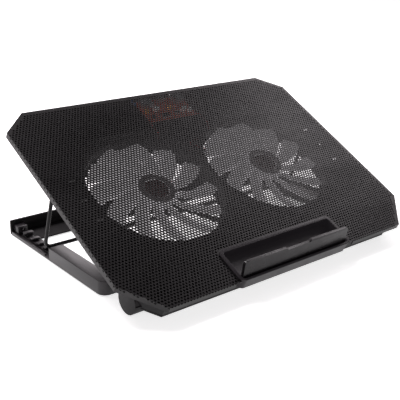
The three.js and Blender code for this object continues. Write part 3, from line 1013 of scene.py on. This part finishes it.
    def cut_windows(self, sheet: bpy.types.Object) -> None:
        """Cuts the front lip away at the tray and the back lip at the ports.

        Args:
            sheet: The flat sheet, in edit mode.
        """
        bezel_low, bezel_high = DECK.box("rear_bezel")
        for left, right, facing in (
            (self.tray_low.x - self.tray_room, self.tray_high.x + self.tray_room, -1.0),
            (bezel_low.x - self.port_room, bezel_high.x + self.port_room, 1.0),
        ):
            for x in (left, right):
                Bench.pick(sheet, lambda p: self.in_lip(p, facing))
                Bench.bisect((x, 0, 0), X_AXIS)
            Bench.pick(sheet, lambda p: self.in_lip(p, facing) and left < p.x < right)
            bpy.ops.mesh.delete(type="FACE")

    def cut_tray(self, sheet: bpy.types.Object) -> None:
        """Cuts the tray's opening out of the flat.

        Args:
            sheet: The flat sheet, in edit mode.
        """
        for point, normal in (
            ((self.tray_half, 0, 0), X_AXIS),
            ((-self.tray_half, 0, 0), X_AXIS),
            ((0, self.tray_back, 0), Y_AXIS),
        ):
            Bench.pick(sheet, lambda p: self.near_tray(p, self.tray_reach))
            Bench.bisect(point, normal)
        Bench.pick(sheet, self.near_tray)
        bpy.ops.mesh.delete(type="FACE")

    def fold(self, sheet: bpy.types.Object) -> None:
        """Turns each lip down by a right angle about its edge.

        Args:
            sheet: The flat sheet, in edit mode.
        """
        for i, (start, _) in enumerate(self.edges):
            Bench.pick(sheet, lambda p: self.lip_edge(p) == i)
            turn = Matrix.Rotation(math.pi / 2, 3, self.along[i])
            bm = bmesh.from_edit_mesh(sheet.data)
            for corner in {v for f in bm.faces if f.select for v in f.verts}:
                corner.co = start + turn @ (corner.co - start)
            bmesh.update_edit_mesh(sheet.data)
        bpy.ops.mesh.select_all(action="SELECT")
        bpy.ops.mesh.delete_loose()

    def split(self, sheet: bpy.types.Object, left: float, width: float) -> list[bpy.types.Object]:
        """Parts the sheet into strips from left to right.

        Args:
            sheet: The whole sheet.
            left: The left end of the first strip.
            width: The width of a strip.

        Returns:
            The strips.
        """
        strips = []
        for k in range(1, self.strips):
            with Bench.editing(sheet):
                Bench.pick(sheet, lambda p: p.x < left + width * k)
                bpy.ops.mesh.separate(type="SELECTED")
            strips.append(next(o for o in bpy.context.selected_objects if o is not sheet))
        return [*strips, sheet]

    def build(self) -> None:
        """Punches, trims and folds the sheet, then gives it its thickness."""
        low, high = self.extent()
        sheet = self.tiles(low, high)
        with Bench.editing(sheet):
            self.punch(sheet)
            self.trim(sheet)
            self.cut_windows(sheet)
            self.cut_tray(sheet)
            self.fold(sheet)
        for k, strip in enumerate(self.split(sheet, low.x, (high.x - low.x) / self.strips)):
            Bench.apply(
                strip, "SOLIDIFY", thickness=self.thickness, offset=-1.0,
                use_even_offset=False, use_rim=True,
            )
            name = f"perforated_sheet_{k + 1}"
            Piece.place(strip, name, "deck", SHEET_COAT, ["mesh_panel"], on_deck=True)


# ---- carried-over shapes with rounded edges -----------------------------------------------------


SCREWS = 6


@dataclass(frozen=True)
class Moulding:
    """A CAD node that keeps its shape and gets rounded edges and a finish."""

    node: str
    body: str
    finish: Finish
    bevel: float
    segments: int = 2

    def build(self) -> None:
        """Makes the rounded copy and lets it stand for the node."""
        obj = Piece.from_node(self.node, self.bevel, self.segments)
        Piece.place(obj, self.node + "_finished", self.body, self.finish, [self.node])


def mouldings() -> list[Moulding]:
    """Every carried-over shape, sub-assembly by sub-assembly.

    Returns:
        The shapes, in the order that they are made in.
    """
    found = [
        Moulding("housing_floor", "deck", HOUSING_PLASTIC, 0.0003),
        Moulding("housing_wall", "deck", HOUSING_PLASTIC, 0.0003),
        Moulding("electronics_bay", "deck", HOUSING_PLASTIC, 0.0003),
        Moulding("front_tray", "deck", TRAY_PLASTIC, 0.0006, 3),
        Moulding("stop_flap", "flap", TRIM_PLASTIC, 0.0006, 3),
        Moulding("base_back_panel", "base", PANEL_PLASTIC, 0.0005),
        Moulding("rear_bezel", "deck", HOUSING_PLASTIC, 0.0003),
        Moulding("circuit_board", "deck", BOARD, 0.0001, 1),
        Moulding("switch_body", "deck", NICKEL, 0.0002),
        Moulding("switch_slider", "switch", PAD_RUBBER, 0.0003),
        Moulding("status_led", "deck", LAMP_LENS, 0.0004, 3),
    ]
    for side in Side:
        name = side.value
        found += [
            Moulding(f"base_rail_{name}", "base", BASE_PLASTIC, 0.0006, 3),
            Moulding(f"notch_rack_{name}", "base", BASE_PLASTIC, 0.0004),
            Moulding(f"floor_pad_front_{name}", "base", PAD_RUBBER, 0.0002),
            Moulding(f"floor_pad_rear_{name}", "base", PAD_RUBBER, 0.0002),
            Moulding(f"back_screw_{name}", "base", SCREW_STEEL, 0.0002),
            Moulding(f"usb_socket_{name}", "deck", NICKEL, 0.0001, 1),
            Moulding(f"bail_clip_{name}", "deck", HOUSING_PLASTIC, 0.0003),
            Moulding(f"hinge_pin_{name}", "deck", SCREW_STEEL, 0.0003),
            Moulding(f"flap_pin_{name}", "flap", SCREW_STEEL, 0.0002),
            Moulding(f"housing_flange_{name}", "deck", HOUSING_PLASTIC, 0.0003),
            Moulding(f"fan_collar_{name}", "deck", HOUSING_PLASTIC, 0.0003),
            Moulding(f"fan_guard_{name}", "deck", HOUSING_PLASTIC, 0.0004),
            Moulding(f"fan_motor_{name}", "deck", COPPER, 0.0002),
            Moulding(f"fan_rotor_{name}", f"fan_{name}", FAN_PLASTIC, 0.0003, 2),
            Moulding(f"fan_magnet_{name}", f"fan_{name}", SCREW_STEEL, 0.0002),
            Moulding(f"fan_shaft_{name}", f"fan_{name}", NICKEL, 0.0002),
            Moulding(f"hub_label_{name}", f"fan_{name}", LABEL_PRINT, 0.0001, 1),
            Moulding(f"fan_lead_{name}", "deck", LEAD_RED, 0.0),
        ]
    found += [Moulding(f"housing_screw_{i + 1}", "deck", SCREW_STEEL, 0.0002) for i in range(SCREWS)]
    found.append(Moulding("wire_bail", "bail", WIRE_ENAMEL, 0.0))
    return found


# ---- small parts inside -------------------------------------------------------------------------


@dataclass
class HubRing:
    """The raised ring on a fan's hub, round its recessed middle."""

    side: Side
    inner: float = 0.0134
    outer: float = 0.0196
    height: float = 0.0004
    rounding: float = 0.00024
    lift: float = 0.0003
    steps: int = 48

    def build(self) -> None:
        """Spins a low rounded ring round the rotor's axis, on top of the hub."""
        name = self.side.value
        low, high = DECK.box(f"hub_label_{name}")
        centre = (*((low + high) / 2).to_2d(), high.z + self.lift)
        top = self.height + self.rounding
        profile = [
            (self.inner, 0.0), (self.inner, self.height), (self.inner + self.rounding, top),
            (self.outer - self.rounding, top), (self.outer, self.height), (self.outer, 0.0),
            (self.inner, 0.0),
        ]
        ring = Bench.turned(profile, centre, self.steps)
        Bench.smooth(ring)
        Piece.place(ring, f"hub_ring_{name}", f"fan_{name}", HUB_SATIN, on_deck=True)


@dataclass(frozen=True)
class Chip:
    """A chip: its middle on the board, width and depth."""

    x: float
    y: float
    width: float
    depth: float


@dataclass(frozen=True)
class Round:
    """A round part: its middle on the board, radius and height."""

    x: float
    y: float
    radius: float
    height: float


@dataclass
class BoardParts:
    """Parts soldered to the board between and in front of the sockets."""

    chips: tuple[Chip, ...] = (
        Chip(0.002, 0.238, 0.0095, 0.0065),
        Chip(0.019, 0.2395, 0.005, 0.004),
        Chip(-0.0145, 0.2385, 0.004, 0.006),
    )
    cans: tuple[Round, ...] = (
        Round(0.0285, 0.2405, 0.0031, 0.0052),
        Round(0.0365, 0.2385, 0.0025, 0.0045),
        Round(-0.006, 0.2475, 0.0031, 0.0052),
    )
    coils: tuple[Round, ...] = (
        Round(-0.0185, 0.2475, 0.0028, 0.0034),
        Round(0.0135, 0.2475, 0.0026, 0.0032),
    )
    chip_lift: float = 0.0004
    chip_top: float = 0.0016
    chip_edge: float = 0.0002
    leg_pitch: float = 0.00127
    leg_half: float = 0.0002
    leg_reach: float = 0.0009
    leg_top: float = 0.0005
    leg_edge: float = 0.0001
    can_steps: int = 28
    coil_steps: int = 24
    coil_turns: int = 6

    def __post_init__(self) -> None:
        """Finds the board's top face."""
        self.top = DECK.box("circuit_board")[1].z

    def build(self) -> None:
        """Places chips with their legs, capacitor cans and wound coils on the board's top face."""
        bodies = [self.body(chip) for chip in self.chips]
        legs = [leg for chip in self.chips for leg in self.legs(chip)]
        for parts, name, finish in (
            (bodies, "board_chips", CHIP_EPOXY),
            (legs, "board_legs", SOLDER),
            ([self.can(can) for can in self.cans], "board_capacitors", CAN_METAL),
            ([self.coil(coil) for coil in self.coils], "board_coils", WINDING),
        ):
            Piece.place(Bench.join(parts, name), name, "deck", finish, on_deck=True)

    def body(self, chip: Chip) -> bpy.types.Object:
        """A chip's moulded body.

        Args:
            chip: Its place and size.

        Returns:
            The body.
        """
        low = (chip.x - chip.width / 2, chip.y - chip.depth / 2, self.top + self.chip_lift)
        high = (chip.x + chip.width / 2, chip.y + chip.depth / 2, self.top + self.chip_top)
        return Bench.box(low, high, self.chip_edge)

    def legs(self, chip: Chip) -> list[bpy.types.Object]:
        """A chip's legs, each one bar that shows at the front and the back.

        Args:
            chip: The chip they carry.

        Returns:
            The legs from left to right.
        """
        count = max(2, int(chip.width / self.leg_pitch))
        reach = chip.depth / 2 + self.leg_reach
        legs = []
        for k in range(count):
            at = chip.x - chip.width / 2 + (k + 0.5) * chip.width / count
            low = (at - self.leg_half, chip.y - reach, self.top)
            high = (at + self.leg_half, chip.y + reach, self.top + self.leg_top)
            legs.append(Bench.box(low, high, self.leg_edge, 1))
        return legs

    def turn(self, part: Round, shape: Sequence[tuple[float, float]], steps: int) -> bpy.types.Object:
        """Spins a round part.

        Args:
            part: Its place and size.
            shape: Corners of its profile as shares of its radius and height.
            steps: Faces round it.

        Returns:
            The part, shaded smoothly.
        """
        profile = [(part.radius * r, part.height * h) for r, h in shape]
        obj = Bench.turned(profile, (part.x, part.y, self.top), steps)
        Bench.smooth(obj)
        return obj

    def can(self, part: Round) -> bpy.types.Object:
        """A capacitor can with a crimped waist and a domed edge.

        Args:
            part: Its place and size.

        Returns:
            The can.
        """
        foot = [(0.0, 0.0), (0.96, 0.0), (1.0, 0.06), (1.0, 0.14)]
        waist = [(0.92, 0.2), (1.0, 0.26)]
        lid = [(1.0, 0.93), (0.9, 1.0), (0.78, 0.97), (0.0, 0.97)]
        return self.turn(part, foot + waist + lid, self.can_steps)

    def coil(self, part: Round) -> bpy.types.Object:
        """A drum core with its winding as a ribbed waist.

        Args:
            part: Its place and size.

        Returns:
            The coil.
        """
        step = 0.68 / self.coil_turns
        waist = []
        for k in range(self.coil_turns):
            low = 0.16 + step * k
            waist += [(0.8, low), (0.9, low + step / 2)]
        foot = [(0.0, 0.0), (1.0, 0.0), (1.0, 0.14)]
        head = [(0.8, 0.84), (1.0, 0.86), (1.0, 1.0), (0.0, 1.0)]
        return self.turn(part, foot + waist + head, self.coil_steps)


@dataclass
class SocketContacts:
    """Contacts on the tongue of one USB socket."""

    side: Side
    count: int = 4
    width: float = 0.0011
    pitch: float = 0.0024
    height: float = 0.0025
    above: float = 0.0001
    below: float = 0.0002
    front_gap: float = 0.0035
    rear_gap: float = 0.0022
    edge: float = 0.00005

    def build(self) -> None:
        """Lays thin springs under the tongue."""
        name = self.side.value
        low, high = DECK.box(f"usb_socket_{name}")
        middle = (low.x + high.x) / 2
        z = low.z + self.height
        springs = []
        for k in range(self.count):
            x = middle + (k - (self.count - 1) / 2) * self.pitch
            front = (x - self.width / 2, low.y + self.front_gap, z - self.below)
            rear = (x + self.width / 2, high.y - self.rear_gap, z + self.above)
            springs.append(Bench.box(front, rear, self.edge, 1))
        contacts = Bench.join(springs, "contacts")
        Piece.place(contacts, f"usb_contacts_{name}", "deck", GOLD, on_deck=True)


# ---- stage --------------------------------------------------------------------------------------


@dataclass(frozen=True)
class SoftLight:
    """A square soft light and the point that it faces."""

    name: str
    place: tuple[float, float, float]
    aim: tuple[float, float, float]
    size: float
    power: float

    def build(self, tint: Color) -> None:
        """Hangs the light.

        Args:
            tint: Its colour.
        """
        data = bpy.data.lights.new(self.name, "AREA")
        data.shape = "SQUARE"
        data.size = self.size
        data.energy = self.power
        data.color = tint
        lamp = bpy.data.objects.new(self.name, data)
        lamp.location = self.place
        toward = Vector(self.aim) - Vector(self.place)
        lamp.rotation_euler = toward.to_track_quat("-Z", "Y").to_euler()
        bpy.context.scene.collection.objects.link(lamp)


@dataclass
class Stage:
    """Camera, soft lights and a plain floor."""

    camera_at: tuple[float, float, float] = (-0.509, -0.58124, 0.33339)
    camera_forward: tuple[float, float, float] = (0.6046, 0.71415, -0.35285)
    camera_right: tuple[float, float, float] = (0.7693, -0.6383, 0.02647)
    lens: float = 69.0
    world: float = 0.16
    tint: Color = (1.0, 0.935, 0.965)
    floor_size: float = 60.0
    floor_white: Color = (0.9, 0.9, 0.9)
    floor_glow: float = 0.75
    lights: tuple[SoftLight, ...] = (
        SoftLight("key", (-0.4, 1.0, 1.8), (0.0, 0.0, 0.05), 0.9, 42.0),
        SoftLight("sheen", (1.05, 0.25, 0.78), (0.1, 0.0, 0.05), 0.6, 3.8),
        SoftLight("back", (1.15, 1.5, 0.72), (0.0, 0.0, 0.02), 1.1, 9.0),
        SoftLight("fill", (-1.2, -1.2, 0.9), (0.0, 0.0, 0.05), 1.2, 2.5),
    )

    def camera(self) -> None:
        """A camera that looks down on the deck from the left front."""
        data = bpy.data.cameras.new("camera")
        data.lens = self.lens
        camera = bpy.data.objects.new("camera", data)
        forward = Vector(self.camera_forward).normalized()
        right = Vector(self.camera_right).normalized()
        up = right.cross(forward).normalized()
        right = forward.cross(up).normalized()
        turn = Matrix((right, up, -forward)).transposed().to_4x4()
        camera.matrix_world = Matrix.Translation(self.camera_at) @ turn
        bpy.context.scene.collection.objects.link(camera)
        bpy.context.scene.camera = camera

    def floor(self) -> None:
        """A wide, pale, faintly glowing floor."""
        Bench.deselect()
        bpy.ops.mesh.primitive_plane_add(size=self.floor_size, location=(0, 0, 0))
        floor = bpy.context.active_object
        floor.name = "studio_floor"
        graph = Graph("studio_floor")
        floor.data.materials.append(
            graph.finish(
                Base_Color=(*self.floor_white, 1.0), Roughness=0.9, Specular_IOR_Level=0.0,
                Emission_Color=(1.0, 1.0, 1.0, 1.0), Emission_Strength=self.floor_glow,
            )
        )

    def backdrop(self) -> None:
        """Even light from all round."""
        world = bpy.data.worlds.new("studio")
        world.use_nodes = True
        back = world.node_tree.nodes["Background"]
        back.inputs["Color"].default_value = (*self.tint, 1.0)
        back.inputs["Strength"].default_value = self.world
        bpy.context.scene.world = world
        bpy.context.scene.view_settings.view_transform = "Standard"

    def build(self) -> None:
        """Sets up everything that isn't part of the object."""
        self.camera()
        self.floor()
        for light in self.lights:
            light.build(self.tint)
        self.backdrop()


def corners(box: tuple[Vector, Vector]) -> list[list[float]]:
    """A box's two corners as plain lists."""
    return [list(corner) for corner in box]


def main() -> None:
    """Builds the stage and every sub-assembly in order."""
    logging.basicConfig(level=logging.INFO, format="%(message)s")
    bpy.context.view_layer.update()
    Stage().build()
    PerforatedSheet().build()
    for moulding in mouldings():
        moulding.build()
    for side in Side:
        HubRing(side).build()
        SocketContacts(side).build()
    BoardParts().build()


if __name__ == "__main__":
    main()
